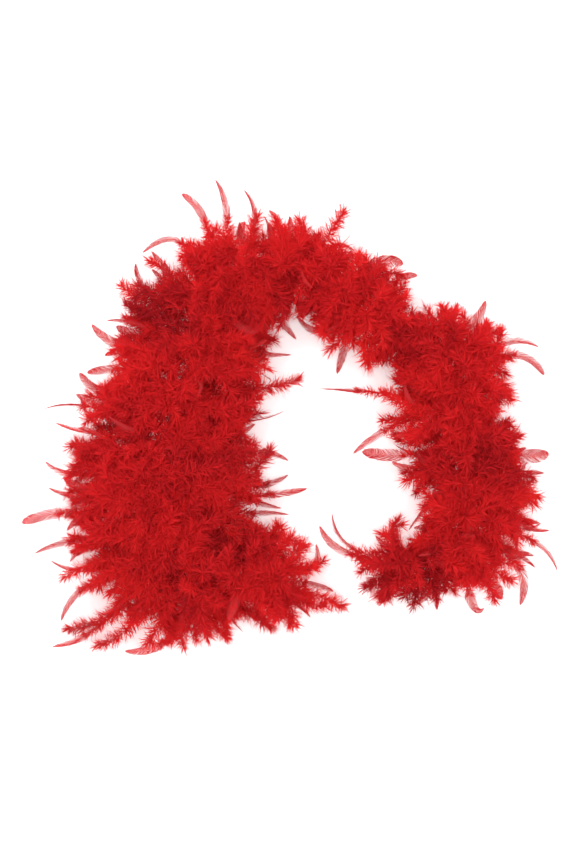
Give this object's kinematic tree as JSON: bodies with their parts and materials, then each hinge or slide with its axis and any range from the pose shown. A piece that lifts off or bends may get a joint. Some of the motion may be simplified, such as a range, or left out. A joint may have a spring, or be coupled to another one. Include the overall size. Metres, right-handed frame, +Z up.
{
  "type": "feather boa",
  "caption": "Red chandelle feather boa, 1.2 m long, lying in an open horseshoe, with ruffs of feathers bound to a twisted core cord.",
  "frame": {"origin": "middle of the boa's outline on the table it lies on", "axes": "+X across the horseshoe from the left leg to the right leg, +Y towards the arch, +Z up"},
  "size_m": [0.6598, 0.6002, 0.0904],
  "materials": {
    "down": "matte",
    "vane": "satin",
    "cord": "matte",
    "thread": "matte"
  },
  "bodies": {
    "left_end": {"core_cord_left_end": "cord", "binding_thread_left_end": "thread", "long_feathers_left_end": "vane", "left_end_ruff_1": "down", "left_end_ruff_2": "down", "left_end_ruff_3": "down", "whipping_left": "thread", "end_knot_left": "cord"},
    "left_leg": {"core_cord_left_leg": "cord", "binding_thread_left_leg": "thread", "long_feathers_left_leg": "vane", "left_leg_ruff_1": "down", "left_leg_ruff_2": "down", "left_leg_ruff_3": "down", "left_leg_ruff_4": "down", "left_leg_ruff_5": "down", "left_leg_ruff_6": "down", "left_leg_ruff_7": "down", "left_leg_ruff_8": "down", "left_leg_ruff_9": "down"},
    "arch": {"core_cord_arch": "cord", "binding_thread_arch": "thread", "long_feathers_arch": "vane", "arch_ruff_1": "down", "arch_ruff_2": "down", "arch_ruff_3": "down", "arch_ruff_4": "down", "arch_ruff_5": "down", "arch_ruff_6": "down", "arch_ruff_7": "down", "arch_ruff_8": "down", "arch_ruff_9": "down", "arch_ruff_10": "down"},
    "right_leg": {"core_cord_right_leg": "cord", "binding_thread_right_leg": "thread", "long_feathers_right_leg": "vane", "right_leg_ruff_1": "down", "right_leg_ruff_2": "down", "right_leg_ruff_3": "down", "right_leg_ruff_4": "down", "right_leg_ruff_5": "down"},
    "right_end": {"core_cord_right_end": "cord", "binding_thread_right_end": "thread", "long_feathers_right_end": "vane", "right_end_ruff_1": "down", "right_end_ruff_2": "down", "whipping_right": "thread", "end_knot_right": "cord"}
  },
  "joints": [
    {"name": "left_end_bend", "type": "hinge", "parent": "left_leg", "child": "left_end", "pos_m": [-0.144, -0.163, 0.04], "axis": [0, 0, 1], "range_deg": [-25, 10]},
    {"name": "left_shoulder_bend", "type": "hinge", "parent": "arch", "child": "left_leg", "pos_m": [-0.096, 0.156, 0.04], "axis": [0, 0, 1], "range_deg": [-20, 5]},
    {"name": "right_shoulder_bend", "type": "hinge", "parent": "arch", "child": "right_leg", "pos_m": [0.209, 0.048, 0.04], "axis": [0, 0, 1], "range_deg": [-5, 20]},
    {"name": "right_end_bend", "type": "hinge", "parent": "right_leg", "child": "right_end", "pos_m": [0.208, -0.136, 0.04], "axis": [0, 0, 1], "range_deg": [-10, 25]}
  ]
}
